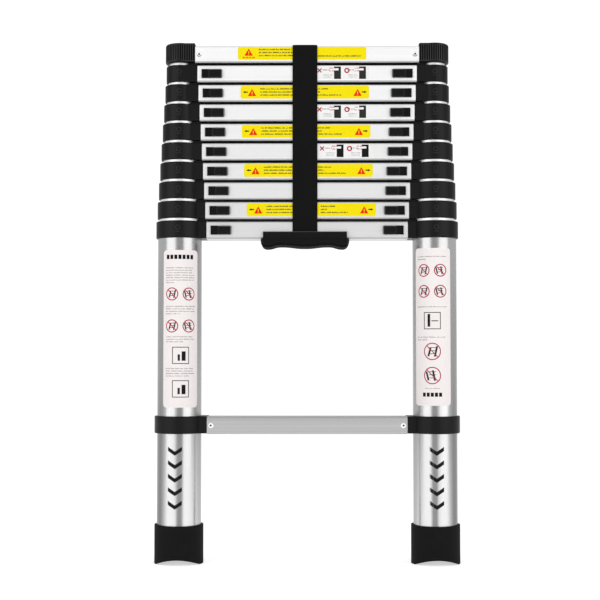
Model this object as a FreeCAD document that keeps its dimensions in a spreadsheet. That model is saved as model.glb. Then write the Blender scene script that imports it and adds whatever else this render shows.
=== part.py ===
"""Telescoping ladder, closed: ten nested tube sections with eleven rungs.

Frame: X across the ladder, Y through it (front at -Y), Z up, origin on the floor midway between the feet.
Levels are numbered 1 to 11 from the floor, one rung at each. Section s carries rung s + 1 on top of its
tubes, and section 1 also carries the fixed rung 1. Everything is in millimetres.
"""

import FreeCAD
import Part
import math
import os

from FreeCAD import Placement, Rotation, Vector

doc = FreeCAD.newDocument("telescoping_ladder")

# ---------------------------------------------------------------- driving dimensions
SECTIONS = 10
TOP_LEVEL = SECTIONS + 1

DIMENSIONS = {
    # stiles
    "stile_offset": 193.9,
    "tube_radius_base": 33.4,
    "tube_radius_step": 1.81,
    "tube_wall": 1.35,
    "tube_foot_gap": 12.0,
    # levels
    "pitch_closed": 29.8,
    "pitch_open": 294.0,
    "level_two": 501.3,
    # collars at the tube tops
    "collar_height": 26.0,
    "collar_lift": 0.9,
    "collar_wall": 2.7,
    "clamp_wall": 4.1,
    "lip_height": 2.5,
    "lip_gap": 0.3,
    "seat_gap": 0.05,
    "block_reach": 5.9,
    "spacer_length": 16.5,
    "block_half_depth": 21.2,
    "spacer_overhang": 2.0,
    "stack_gap": 0.1,
    "tongue_length": 12.0,
    "tongue_gap": 0.3,
    "collar_round": 1.4,
    # rungs
    "rung_depth": 43.0,
    "rung_height": 26.0,
    "rung_wall": 1.8,
    "rung_corner": 3.0,
    "tread_groove_width": 1.6,
    "tread_groove_depth": 0.8,
    "tread_groove_pitch": 5.0,
    # lock pins and thumb slides
    "pin_radius": 4.0,
    "pin_bore_gap": 0.3,
    "pin_tip_gap": 0.2,
    "pin_seat": 12.0,
    "slide_travel": 6.0,
    "slide_offset": 6.3,
    "slide_length": 31.4,
    "slide_height": 13.6,
    "slide_plate": 1.6,
    "slide_face_gap": 0.15,
    "pad_length": 21.4,
    "pad_rise": 2.2,
    "pad_corner": 2.4,
    "pad_rim": 2.0,
    "rib_width": 0.8,
    "rib_pitch": 1.9,
    "rib_rise": 1.1,
    "spring_wire": 1.2,
    "spring_radius": 5.8,
    "spring_length": 15.0,
    "stem_start": 19.0,
    "stem_length": 12.0,
    "stem_height": 8.0,
    "slot_gap": 0.4,
    "carriage_start": 15.0,
    "carriage_length": 20.0,
    "carriage_half_height": 9.0,
    "carriage_front": 15.0,
    "carriage_back": 6.0,
    # plugs at the tube bottoms
    "plug_height": 24.0,
    "plug_wall": 3.0,
    "plug_web": 2.0,
    "plug_rim_height": 3.0,
    "plug_rim_reach": 0.3,
    "lock_hole_height": 13.0,
    # top caps
    "cap_radius": 22.9,
    "cap_reach": 24.0,
    "cap_height": 29.8,
    "cap_roof": 3.0,
    "flute_radius": 1.15,
    "flute_offset": 0.3,
    "flute_pitch": 3.4,
    # feet
    "foot_radius": 37.0,
    "foot_height": 58.0,
    "arch_radius": 70.0,
    "arch_half": 33.0,
    "sole_groove_width": 2.6,
    "sole_groove_depth": 2.0,
    "sole_groove_offset": 9.0,
    # rivets
    "rivet_radius": 2.0,
    "rivet_length": 6.5,
    "rivet_head_radius": 4.0,
    "rivet_head_rise": 1.3,
    "rivet_bore_radius": 1.5,
    "rivet_inset": 6.0,
    "rivet_gap": 0.05,
    # carrying handle, clipped round rung 2
    "band_centre": -3.2,
    "handle_plate_half": 63.2,
    "handle_plate_top": 499.0,
    "handle_wall": 4.2,
    "handle_gap": 0.2,
    "handle_recess": 2.4,
    "grip_half": 66.7,
    "grip_round": 4.0,
    "plate_round": 1.2,
    "step_width": 1.0,
    "step_depth": 0.8,
    "grip_end_bottom": 475.0,
    "grip_end_inset": 8.7,
    "grip_hollow_bottom": 478.5,
    "grip_hollow_offset": 36.0,
    "grip_middle_bottom": 476.1,
    # strap
    "strap_width": 37.6,
    "strap_thickness": 1.6,
    "strap_gap": 0.25,
    "strap_tail_gap": 1.2,
    "strap_recess_gap": 0.6,
}

sizes = doc.addObject("Spreadsheet::Sheet", "sizes")
for row, (alias, value) in enumerate(DIMENSIONS.items(), start=1):
    sizes.set(f"A{row}", alias)
    sizes.set(f"B{row}", str(value))
    sizes.setAlias(f"B{row}", alias)
doc.recompute()


def size(alias):
    """A driving dimension's value, for Part.Feature pieces and edge picking."""
    return float(sizes.get(alias))


# ---------------------------------------------------------------- sizes that change from level to level
def tube_radius(section):
    """Expression for the outer radius of a section's tubes."""
    return f"(sizes.tube_radius_base - {section - 1} * sizes.tube_radius_step)"


def level_height(level):
    """Expression for the height of a rung's axis with the ladder closed."""
    if level == 1:
        return "(sizes.level_two - sizes.pitch_open)"
    return f"(sizes.level_two + {level - 2} * sizes.pitch_closed)"


def ring_radius(level):
    """Expression for the outer radius of the collar round the tube at a level."""
    if level == 1:
        return "(sizes.tube_radius_base + sizes.clamp_wall)"
    return f"({tube_radius(level - 1)} + sizes.collar_wall)"


def block_end(level):
    """Expression for the distance from the tube's axis to the rung's end."""
    if level == TOP_LEVEL:
        return "sizes.cap_reach"
    return f"({ring_radius(level)} + sizes.block_reach)"


def ring_value(level):
    """The same collar radius as a number, for edge picking."""
    return size("tube_radius_base") - (level - 2) * size("tube_radius_step") + size("collar_wall")


def rung_half(level):
    """Expression for half the length of a rung."""
    return f"(sizes.stile_offset - {block_end(level)})"


# ---------------------------------------------------------------- small builders
def bind(obj, **expressions):
    """Ties an object's properties to the sheet; x, y and z are its placement."""
    paths = {"x": ".Placement.Base.x", "y": ".Placement.Base.y", "z": ".Placement.Base.z"}
    for prop, expression in expressions.items():
        obj.setExpression(paths.get(prop, prop), str(expression))
    return obj


def box(name, length, depth, height, x, y, z):
    """A block with its lowest corner at x, y, z."""
    made = doc.addObject("Part::Box", name)
    return bind(made, Length=length, Width=depth, Height=height, x=x, y=y, z=z)


def rod(name, radius, height, x, y, z, axis=Vector(0, 0, 1)):
    """A cylinder that starts at x, y, z and runs along axis."""
    made = doc.addObject("Part::Cylinder", name)
    made.Placement = Placement(Vector(), Rotation(Vector(0, 0, 1), axis))
    return bind(made, Radius=radius, Height=height, x=x, y=y, z=z)


def cut(name, base, *tools):
    """base with every tool taken away, one after the other."""
    for number, tool in enumerate(tools, start=1):
        made = doc.addObject("Part::Cut", f"{name}_cut{number}")
        made.Base = base
        made.Tool = tool
        base = made
    return base


def fuse(name, *shapes):
    made = doc.addObject("Part::MultiFuse", name)
    made.Shapes = list(shapes)
    made.Refine = True
    return made


def rounded(name, base, radius, wanted):
    """base with a fillet on each edge that wanted() accepts."""
    doc.recompute()
    made = doc.addObject("Part::Fillet", name)
    made.Base = base
    numbers = [n for n, edge in enumerate(base.Shape.Edges, start=1) if wanted(edge)]
    made.Edges = [(n, radius, radius) for n in numbers]
    return made


def other_side(source):
    """The mirror image of a piece across the ladder's centre plane."""
    made = doc.addObject("Part::Mirroring", f"{source.Name}_mirrored")
    made.Source = source
    made.Normal = Vector(1, 0, 0)
    return made


parts = []


def subpart(label, *solids):
    """Registers a node: one object, or several separate solids in one compound."""
    made = solids[0]
    if len(solids) > 1:
        made = doc.addObject("Part::Compound", f"node_{label}")
        made.Links = list(solids)
    made.Label = label
    parts.append(made)
    return made


# ---------------------------------------------------------------- sketches
def origin_plane(body, role):
    return next(f for f in body.Origin.OriginFeatures if f.Role == role)


def new_sketch(body, name, role):
    sketch = body.newObject("Sketcher::SketchObject", name)
    sketch.AttachmentSupport = (origin_plane(body, role), [""])
    sketch.MapMode = "FlatFace"
    return sketch


def name_and_bind(sketch, constraint, name, expression):
    index = sketch.addConstraint(constraint)
    sketch.renameConstraint(index, name)
    sketch.setExpression(f"Constraints.{name}", expression)


def add_rectangle(sketch, tag, left, bottom, width, height, guess):
    """A rectangle whose left and bottom are signed distances from the sketch's origin."""
    import Sketcher

    x0, y0, x1, y1 = guess
    corners = [Vector(x0, y0), Vector(x1, y0), Vector(x1, y1), Vector(x0, y1)]
    first = sketch.GeometryCount
    for start, end in zip(corners, corners[1:] + corners[:1]):
        sketch.addGeometry(Part.LineSegment(start, end), False)
    for n in range(4):
        joined = Sketcher.Constraint("Coincident", first + n, 2, first + (n + 1) % 4, 1)
        sketch.addConstraint(joined)
    for n, kind in enumerate(["Horizontal", "Vertical", "Horizontal", "Vertical"]):
        sketch.addConstraint(Sketcher.Constraint(kind, first + n))
    corner = (-1, 1, first, 1)
    name_and_bind(sketch, Sketcher.Constraint("DistanceX", *corner, x0), f"{tag}_left", left)
    name_and_bind(sketch, Sketcher.Constraint("DistanceY", *corner, y0), f"{tag}_bottom", bottom)
    across = Sketcher.Constraint("DistanceX", first, 1, first, 2, x1 - x0)
    name_and_bind(sketch, across, f"{tag}_width", width)
    up = Sketcher.Constraint("DistanceY", first + 1, 1, first + 1, 2, y1 - y0)
    name_and_bind(sketch, up, f"{tag}_height", height)


def pad(body, name, sketch, length):
    """Raises a sketch by length, half to each side of its plane."""
    made = body.newObject("PartDesign::Pad", name)
    made.Profile = sketch
    made.Midplane = True
    made.setExpression("Length", length)
    return made


def pocket(body, name, sketch, midplane):
    """Cuts a sketch through everything: to both sides of its plane, or to its front only."""
    before = body.Shape.Volume
    made = body.newObject("PartDesign::Pocket", name)
    made.Profile = sketch
    made.Type = "ThroughAll"
    made.Midplane = midplane
    made.Reversed = not midplane
    doc.recompute()
    if made.Shape.Volume > before - 1.0:
        raise RuntimeError(f"{body.Label}: {name} cut nothing")
    return made


# ---------------------------------------------------------------- derived heights, as expressions
TRAVEL = "(sizes.pitch_open - sizes.pitch_closed)"
COLLAR_BELOW = "(sizes.collar_height / 2 - sizes.collar_lift)"
COLLAR_ABOVE = "(sizes.collar_height / 2 + sizes.collar_lift)"
CLOSED_SPACER = "(sizes.pitch_closed - sizes.collar_height - sizes.stack_gap)"


def tube_bottom(section):
    if section == 1:
        return "sizes.tube_foot_gap"
    return f"({level_height(section)} - {TRAVEL} - sizes.lock_hole_height)"


def tube_top(section):
    """Tubes end under their collar's lip, and the last pair under the roof of its cap."""
    level = level_height(section + 1)
    if section == SECTIONS:
        return f"({level} - {COLLAR_BELOW} + sizes.cap_height - sizes.cap_roof - sizes.seat_gap)"
    return f"({level} + {COLLAR_ABOVE} - sizes.lip_height - sizes.seat_gap)"


# ---------------------------------------------------------------- tubes
def cross_hole(name, level_z, radius, section):
    """A rod across the tube's inward side, for the holes that the lock pins go through."""
    inward = "sizes.stile_offset"
    return rod(name, radius, f"{tube_radius(section)} + 1", inward, 0, level_z, Vector(-1, 0, 0))


def stile_tubes(section):
    name = f"tube_{section}"
    length = f"{tube_top(section)} - {tube_bottom(section)}"
    place = ("sizes.stile_offset", 0, tube_bottom(section))
    outer = rod(f"{name}_outer", tube_radius(section), length, *place)
    inner = rod(f"{name}_inner", f"{tube_radius(section)} - sizes.tube_wall", length, *place)
    tools = [inner]
    bore = "sizes.pin_radius + sizes.pin_bore_gap"
    if section < SECTIONS:
        tools.append(cross_hole(f"{name}_pin_hole", level_height(section + 1), bore, section))
    if section > 1:
        lock_z = f"{tube_bottom(section)} + sizes.lock_hole_height"
        tools.append(cross_hole(f"{name}_lock_hole", lock_z, bore, section))
    right = cut(name, outer, *tools)
    return subpart(f"stile_tubes_{section}", right, other_side(right))


# ---------------------------------------------------------------- collars, clamps and caps
def block_outline(name, level, outer_radius, bottom, height):
    """The ring round the tube together with the block that meets the rung's end."""
    reach = block_end(level)
    ring = rod(f"{name}_ring", outer_radius, height, "sizes.stile_offset", 0, bottom)
    block = box(
        f"{name}_block", reach, "2 * sizes.block_half_depth", height,
        f"sizes.stile_offset - {reach}", "-sizes.block_half_depth", bottom,
    )
    return fuse(f"{name}_outline", ring, block)


def tongue(name, level):
    """The tenon that plugs into the hollow rung."""
    room = "(sizes.rung_wall + sizes.tongue_gap)"
    return box(
        f"{name}_tongue", "sizes.tongue_length + 1", f"sizes.rung_depth - 2 * {room}",
        f"sizes.rung_height - 2 * {room}",
        f"sizes.stile_offset - {block_end(level)} - sizes.tongue_length",
        f"-sizes.rung_depth / 2 + {room}", f"{level_height(level)} - sizes.rung_height / 2 + {room}",
    )


def pin_bore(name, level):
    return rod(
        f"{name}_pin_bore", "sizes.pin_radius + sizes.pin_bore_gap", 80,
        "sizes.stile_offset", 0, level_height(level), Vector(-1, 0, 0),
    )


def is_level_rim(edge):
    """True for edges that lie flat, which are the ones a moulding rounds off."""
    return edge.BoundBox.ZLength < 0.01 and edge.Length > 10


def collar(level):
    """The moulded collar at a tube's top: ring, lip, block, spacer and tongue in one piece."""
    name = f"collar_{level}"
    section = level - 1
    bottom = f"({level_height(level)} - {COLLAR_BELOW})"
    outline = block_outline(name, level, ring_radius(level), bottom, "sizes.collar_height")
    outline = rounded(f"{name}_rounded", outline, size("collar_round"), is_level_rim)
    inset = "sizes.spacer_overhang"
    spacer = box(
        f"{name}_spacer", f"sizes.spacer_length - {inset}", f"2 * (sizes.block_half_depth - 2 * {inset})",
        f"{CLOSED_SPACER} - sizes.collar_lift + 1", f"sizes.stile_offset - {block_end(level)}",
        f"-sizes.block_half_depth + 2 * {inset}", f"{level_height(level)} + {COLLAR_ABOVE} - 1",
    )
    solid = fuse(f"{name}_solid", outline, spacer, tongue(name, level))
    seat = rod(
        f"{name}_seat", f"{tube_radius(section)} + sizes.seat_gap",
        "sizes.collar_height - sizes.lip_height", "sizes.stile_offset", 0, bottom,
    )
    lip = rod(
        f"{name}_lip", f"{tube_radius(section + 1)} + sizes.lip_gap", 60,
        "sizes.stile_offset", 0, bottom,
    )
    return cut(name, solid, seat, lip, pin_bore(name, level))


def clamp():
    """The clamp that holds rung 1 on the outer tube."""
    bottom = f"({level_height(1)} - {COLLAR_BELOW})"
    outline = block_outline("clamp", 1, ring_radius(1), bottom, "sizes.collar_height")
    outline = rounded("clamp_rounded", outline, size("collar_round"), is_level_rim)
    solid = fuse("clamp_solid", outline, tongue("clamp", 1))
    seat = rod(
        "clamp_seat", "sizes.tube_radius_base + sizes.seat_gap", 60, "sizes.stile_offset", 0,
        f"{bottom} - 10",
    )
    return cut("clamp", solid, seat, *rivet_bores("clamp", 1))


def cap():
    """The closed cap on the last tube, with upright flutes round it."""
    name = "cap"
    bottom = f"({level_height(TOP_LEVEL)} - {COLLAR_BELOW})"
    outline = block_outline(name, TOP_LEVEL, "sizes.cap_radius", bottom, "sizes.cap_height")
    outline = rounded("cap_rounded", outline, 2 * size("collar_round"), is_level_rim)
    turn = math.degrees(size("flute_pitch") / size("cap_radius"))
    reach = "(sizes.cap_radius + sizes.flute_offset)"
    steps = int(112 / turn)  # the ring meets the flat block a little past its front and back lines
    places = [
        (f"sizes.stile_offset + {reach} * cos({n * turn} deg)", f"{reach} * sin({n * turn} deg)")
        for n in range(-steps, steps + 1)
    ]
    for n in (1, 2, 3, 4):
        across = f"sizes.stile_offset + {reach} * cos({steps * turn} deg) - {n} * sizes.flute_pitch"
        places += [
            (across, f"{side} * (sizes.block_half_depth + sizes.flute_offset)") for side in (-1, 1)
        ]
    flutes = [
        rod(f"cap_flute_{n}", "sizes.flute_radius", "sizes.cap_height - 6", x, y, f"{bottom} + 3")
        for n, (x, y) in enumerate(places, start=1)
    ]
    flutes = fuse("cap_flutes", *flutes)
    solid = fuse("cap_solid", outline, tongue(name, TOP_LEVEL))
    seat = rod(
        "cap_seat", f"{tube_radius(SECTIONS)} + sizes.seat_gap",
        "sizes.cap_height - sizes.cap_roof", "sizes.stile_offset", 0, bottom,
    )
    return cut("cap", solid, seat, flutes, *rivet_bores(name, TOP_LEVEL))


def plug(section):
    """The glide plug in a tube's lower end, whose rim centres it in the next tube out."""
    name = f"plug_{section}"
    inner = f"({tube_radius(section)} - sizes.tube_wall - sizes.seat_gap)"
    place = ("sizes.stile_offset", 0)
    body = rod(f"{name}_body", inner, "sizes.plug_height", *place, tube_bottom(section))
    rim = rod(
        f"{name}_rim", f"{tube_radius(section)} + sizes.plug_rim_reach", "sizes.plug_rim_height",
        *place, f"{tube_bottom(section)} - sizes.plug_rim_height - sizes.seat_gap",
    )
    neck = rod(
        f"{name}_neck", inner, "2 * sizes.plug_web", *place,
        f"{tube_bottom(section)} - sizes.plug_web",
    )
    solid = fuse(f"{name}_solid", body, rim, neck)
    hollow = rod(
        f"{name}_hollow", f"{inner} - sizes.plug_wall", "sizes.plug_height", *place,
        f"{tube_bottom(section)} + sizes.plug_web",
    )
    lock_z = f"{tube_bottom(section)} + sizes.lock_hole_height"
    lock = cross_hole(f"{name}_lock", lock_z, "sizes.pin_radius + sizes.pin_bore_gap", section)
    return cut(name, solid, hollow, lock)


def collars(level):
    """One node for the mouldings on a section's tubes: a collar at each top, a plug at each foot."""
    if level == 1:
        right = clamp()
        return subpart("rung_clamps", right, other_side(right))
    right = cap() if level == TOP_LEVEL else collar(level)
    pieces = [right, other_side(right)]
    if level > 2:
        glide = plug(level - 1)
        pieces += [glide, other_side(glide)]
    label = "end_caps_and_plugs" if level == TOP_LEVEL else f"collars_{level}"
    return subpart(label, *pieces)


# ---------------------------------------------------------------- rungs
def slot_start():
    return "(sizes.stem_start - sizes.slot_gap)"


def rung(level):
    """An aluminium box rung: grooved tread, and a slot at each end where slides travel."""
    body = doc.addObject("PartDesign::Body", f"rung_{level}_body")
    bind(body, z=level_height(level))

    section = new_sketch(body, f"rung_{level}_section", "YZ_Plane")
    add_rectangle(
        section, "outer", "-sizes.rung_depth / 2", "-sizes.rung_height / 2",
        "sizes.rung_depth", "sizes.rung_height", (-20, -13, 20, 13),
    )
    add_rectangle(
        section, "inner", "-sizes.rung_depth / 2 + sizes.rung_wall",
        "-sizes.rung_height / 2 + sizes.rung_wall", "sizes.rung_depth - 2 * sizes.rung_wall",
        "sizes.rung_height - 2 * sizes.rung_wall", (-18, -11, 18, 11),
    )
    pad(body, f"rung_{level}_pad", section, f"2 * {rung_half(level)}")
    doc.recompute()

    tread = new_sketch(body, f"rung_{level}_tread", "YZ_Plane")
    for n in range(-3, 4):
        add_rectangle(
            tread, f"groove_{n + 4}", f"{n} * sizes.tread_groove_pitch - sizes.tread_groove_width / 2",
            "sizes.rung_height / 2 - sizes.tread_groove_depth", "sizes.tread_groove_width",
            "2 * sizes.tread_groove_depth", (5 * n - 0.8, 12, 5 * n + 0.8, 14),
        )
    pocket(body, f"rung_{level}_grooves", tread, midplane=True)

    if 1 < level < TOP_LEVEL:
        slots = new_sketch(body, f"rung_{level}_slots", "XZ_Plane")
        width = "(sizes.stem_length + sizes.slide_travel + 2 * sizes.slot_gap)"
        tall = "(sizes.stem_height + 2 * sizes.slot_gap)"
        add_rectangle(
            slots, "left", f"{slot_start()} - {rung_half(level)}", f"-{tall} / 2", width, tall,
            (-130, -4, -110, 4),
        )
        add_rectangle(
            slots, "right", f"{rung_half(level)} - {slot_start()} - {width}", f"-{tall} / 2",
            width, tall, (110, -4, 130, 4),
        )
        pocket(body, f"rung_{level}_slot_cut", slots, midplane=False)
        return subpart(f"rung_{level}", rounded_rung(body, level))

    rounded_body = rounded_rung(body, level)
    bores = []
    for tool in rivet_bores(f"rung_{level}", level):
        bores += [tool, other_side(tool)]
    drilled = cut(f"rung_{level}_drilled", rounded_body, *bores)
    return subpart(f"rung_{level}", drilled)


def rounded_rung(body, level):
    """Rounds the rung's four long outer corners."""
    half_depth, half_height = size("rung_depth") / 2, size("rung_height") / 2

    def long_corner(edge):
        box_ = edge.BoundBox
        y, z = abs(box_.Center.y), abs(box_.Center.z)
        return box_.XLength > 200 and abs(y - half_depth) < 0.01 and abs(z - half_height) < 0.01

    doc.recompute()
    tip = body.Tip
    made = body.newObject("PartDesign::Fillet", f"rung_{level}_corners")
    names = [f"Edge{n}" for n, edge in enumerate(tip.Shape.Edges, start=1) if long_corner(edge)]
    if len(names) != 4:
        raise RuntimeError(f"rung {level}: found {len(names)} long corners")
    made.Base = (tip, names)
    made.setExpression("Radius", "sizes.rung_corner")
    body.Tip = made
    doc.recompute()
    return body


# ---------------------------------------------------------------- rivets
def rivet_places(level):
    """Where the right-hand rivets go in: the front and the back of the rung's end."""
    x = f"sizes.stile_offset - {block_end(level)} - sizes.rivet_inset"
    return [(x, -1), (x, 1)]


def rivet_bores(name, level):
    bores = []
    for x, side in rivet_places(level):
        way = Vector(0, -side, 0)
        bores.append(rod(
            f"{name}_rivet_bore_{side + 2}", "sizes.rivet_radius + sizes.rivet_gap", 12, x,
            f"{side} * (sizes.rung_depth / 2 + 1)", level_height(level), way,
        ))
    return bores


def rivets(label, level):
    """Blind rivets, each a domed head on a shank with its mandrel hole left open."""
    solids = []
    for x, side in rivet_places(level):
        name = f"{label}_{side + 2}"
        way = Vector(0, -side, 0)
        face = f"{side} * (sizes.rung_depth / 2 + sizes.rivet_gap)"
        tip = f"{side} * (sizes.rung_depth / 2 + sizes.rivet_gap + sizes.rivet_head_rise)"
        shank = rod(f"{name}_shank", "sizes.rivet_radius", "sizes.rivet_length", x, face,
                    level_height(level), way)
        head = doc.addObject("Part::Cone", f"{name}_head")
        head.Placement = Placement(Vector(), Rotation(Vector(0, 0, 1), way))
        bind(head, Radius1="0.6 * sizes.rivet_head_radius", Radius2="sizes.rivet_head_radius",
             Height="sizes.rivet_head_rise", x=x, y=tip, z=level_height(level))
        hole = rod(f"{name}_hole", "sizes.rivet_bore_radius", 5, x, tip, level_height(level), way)
        made = cut(name, fuse(f"{name}_solid", shank, head), hole)
        solids += [made, other_side(made)]
    return subpart(label, *solids)


# ---------------------------------------------------------------- lock slides
def lock_slide(level):
    """A thumb slide, its lock pin and its spring, for the right-hand end of a rung."""
    name = f"slide_{level}"
    end = f"({rung_half(level)})"
    z = level_height(level)
    face = "(-sizes.rung_depth / 2 - sizes.slide_face_gap)"

    def reach_in(start, length):
        """x of a piece that starts this far in from the rung's end."""
        return f"{end} - {start} - {length}"

    plate = box(
        f"{name}_plate", "sizes.slide_length", "sizes.slide_plate", "sizes.slide_height",
        reach_in("sizes.slide_offset", "sizes.slide_length"), f"{face} - sizes.slide_plate",
        f"{z} - sizes.slide_height / 2",
    )
    thumb = box(
        f"{name}_thumb", "sizes.pad_length", "sizes.pad_rise + 0.5", "sizes.slide_height",
        reach_in("sizes.slide_offset", "sizes.slide_length"),
        f"{face} - sizes.slide_plate - sizes.pad_rise", f"{z} - sizes.slide_height / 2",
    )

    inner_end = size("stile_offset") - ring_value(level) - size("block_reach")
    inner_end -= size("slide_offset") + size("slide_length")

    def inner_corner(edge):
        bounds = edge.BoundBox
        upright = bounds.XLength < 0.01 and bounds.ZLength < 0.01
        return upright and abs(bounds.Center.x - inner_end) < 0.01

    def front_rim(edge):
        flat = edge.BoundBox.YLength < 0.01
        return flat and edge.BoundBox.Center.y < -size("rung_depth") / 2 - size("slide_plate") - 1

    plate = rounded(f"{name}_plate_rounded", plate, size("pad_corner"), inner_corner)
    thumb = rounded(f"{name}_thumb_corners", thumb, size("pad_corner"), inner_corner)
    thumb = rounded(f"{name}_thumb_rounded", thumb, size("pad_rim"), front_rim)
    ribs = [
        box(
            f"{name}_rib_{n}", "sizes.rib_width", "sizes.rib_rise + 0.5", "sizes.slide_height - 1",
            f"{end} - sizes.slide_offset - {n} * sizes.rib_pitch",
            f"{face} - sizes.slide_plate - sizes.rib_rise", f"{z} - sizes.slide_height / 2 + 0.5",
        )
        for n in range(1, 5)
    ]
    stem = box(
        f"{name}_stem", "sizes.stem_length",
        "sizes.rung_depth / 2 + sizes.slide_face_gap - sizes.carriage_front + 1", "sizes.stem_height",
        reach_in("sizes.stem_start", "sizes.stem_length"), f"{face} - 0.5",
        f"{z} - sizes.stem_height / 2",
    )
    carriage = box(
        f"{name}_carriage", "sizes.carriage_length", "sizes.carriage_front + sizes.carriage_back",
        "2 * sizes.carriage_half_height", reach_in("sizes.carriage_start", "sizes.carriage_length"),
        "-sizes.carriage_front", f"{z} - sizes.carriage_half_height",
    )
    moulding = fuse(f"{name}_moulding", plate, thumb, stem, carriage, *ribs)
    seat = rod(
        f"{name}_pin_seat", "sizes.pin_radius + sizes.seat_gap", "sizes.pin_seat + 1",
        f"{end} - sizes.carriage_start - sizes.pin_seat", 0, z, Vector(1, 0, 0),
    )
    slider = cut(f"{name}_slider", moulding, seat)

    tip = f"({tube_radius(level)} + sizes.pin_tip_gap)"
    pin_start = f"({end} - sizes.carriage_start - sizes.pin_seat + sizes.seat_gap)"
    pin = rod(
        f"{name}_pin", "sizes.pin_radius", f"sizes.stile_offset - {tip} - {pin_start}",
        pin_start, 0, z, Vector(1, 0, 0),
    )

    behind = f"{end} - sizes.carriage_start - sizes.carriage_length - sizes.seat_gap"
    coil = rod(f"{name}_coil", "sizes.spring_radius", "sizes.spring_length", behind, 0, z, Vector(-1, 0, 0))
    core = rod(
        f"{name}_core", "sizes.spring_radius - sizes.spring_wire", "sizes.spring_length + 1",
        behind, 0, z, Vector(-1, 0, 0),
    )
    spring = cut(f"{name}_spring", coil, core)

    subpart(f"lock_slide_{level}_right", slider, pin, spring)
    subpart(f"lock_slide_{level}_left", other_side(slider), other_side(pin), other_side(spring))


# ---------------------------------------------------------------- feet
def foot():
    """A rubber shoe with a floor under the tube and an arched sole that stands on its two sides."""
    x = "sizes.stile_offset"
    shell = rod("foot_shell", "sizes.foot_radius", "sizes.foot_height", x, 0, 0)
    arch = rod(
        "foot_arch", "sizes.arch_radius", "3 * sizes.foot_radius", x, "-1.5 * sizes.foot_radius",
        "-sqrt(sizes.arch_radius ^ 2 - sizes.arch_half ^ 2)", Vector(0, 1, 0),
    )
    seat = rod(
        "foot_seat", "sizes.tube_radius_base + sizes.seat_gap", "sizes.foot_height", x, 0,
        "sizes.tube_foot_gap - sizes.seat_gap",
    )
    grooves = []
    for side in (-1, 1):
        grooves.append(box(
            f"foot_groove_{side + 2}", "2 * sizes.foot_radius + 4", "sizes.sole_groove_width",
            "sizes.sole_groove_depth + 1", f"{x} - sizes.foot_radius - 2",
            f"{side} * sizes.sole_groove_offset - sizes.sole_groove_width / 2", "-1",
        ))
    right = cut("foot_right", shell, arch, seat, *grooves)
    subpart("foot_right", right)
    subpart("foot_left", other_side(right))


# ---------------------------------------------------------------- carrying handle and strap
def grip_outline():
    """The handle's front view: a band with square shoulders over a grip that waves along its foot."""
    centre = size("band_centre")
    half, inset, low = size("grip_half"), size("grip_end_inset"), size("grip_end_bottom")
    hollow, middle = size("grip_hollow_offset"), size("grip_middle_bottom")
    shoulder = size("level_two") - size("rung_height") / 2 - size("handle_gap")
    plate, top = size("handle_plate_half"), size("handle_plate_top")

    def at(x, z):
        return Vector(centre + x, 0, z)

    def swell(x0, z0, x1, z1):
        """A smooth rise or fall that is level at both of its ends."""
        curve = Part.BezierCurve()
        curve.setPoles([at(x0, z0), at((x0 + x1) / 2, z0), at((x0 + x1) / 2, z1), at(x1, z1)])
        return curve.toShape()

    def corner(side):
        """The quarter circle at one end of the grip, from its foot up to its side."""
        middle_x, middle_z = half - inset * (1 - math.sqrt(0.5)), low + inset * (1 - math.sqrt(0.5))
        arc = Part.Arc(at(side * (half - inset), low), at(side * middle_x, middle_z),
                       at(side * half, low + inset))
        return arc.toShape()

    crests = [(inset - half, low), (-hollow, size("grip_hollow_bottom")), (0, middle),
              (hollow, size("grip_hollow_bottom")), (half - inset, low)]
    wave = [swell(*start, *end) for start, end in zip(crests, crests[1:])]
    points = [
        at(half, low + inset), at(half, shoulder), at(plate, shoulder), at(plate, top),
        at(-plate, top), at(-plate, shoulder), at(-half, shoulder), at(-half, low + inset),
    ]
    lines = [Part.makeLine(start, end) for start, end in zip(points, points[1:])]
    return Part.Wire([corner(-1)] + wave + [corner(1)] + lines)


def carry_handle():
    """A moulded channel clipped round rung 2, with a grip below it and recesses for the strap's tails."""
    deep = size("rung_depth") / 2 + size("handle_gap") + size("handle_wall")
    block = Part.Face(grip_outline()).extrude(Vector(0, 2 * deep, 0))
    block.translate(Vector(0, -deep, 0))
    below = size("level_two") - size("rung_height") / 2 - 1
    grip_rim = [
        edge for edge in block.Edges
        if edge.BoundBox.YLength < 0.01 and edge.BoundBox.Center.z < below
    ]
    block = block.makeFillet(size("grip_round"), grip_rim)
    top_rim = [
        edge for edge in block.Edges
        if edge.BoundBox.YLength < 0.01 and edge.BoundBox.ZMin > size("handle_plate_top") - 0.01
    ]
    blank = doc.addObject("Part::Feature", "handle_blank")
    blank.Shape = block.makeFillet(size("plate_round"), top_rim)
    room = "(sizes.rung_depth / 2 + sizes.handle_gap)"
    floor = "(sizes.level_two - sizes.rung_height / 2 - sizes.handle_gap)"
    channel = box("handle_channel", 200, f"2 * {room}", 60, -100, f"-{room}", floor)
    recess = box(
        "handle_recess", "sizes.strap_width + 2 * sizes.strap_recess_gap",
        f"2 * ({room} + sizes.handle_recess)", 60,
        "sizes.band_centre - sizes.strap_width / 2 - sizes.strap_recess_gap",
        f"-{room} - sizes.handle_recess", floor,
    )
    steps = [
        box(
            f"handle_step_{side + 2}", 200, "2 * sizes.step_depth", "sizes.step_width", -100,
            f"{side} * ({room} + sizes.handle_wall) - sizes.step_depth", f"{floor} - sizes.step_width",
        )
        for side in (-1, 1)
    ]
    subpart("carry_handle", cut("handle", blank, channel, recess, *steps))


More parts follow.
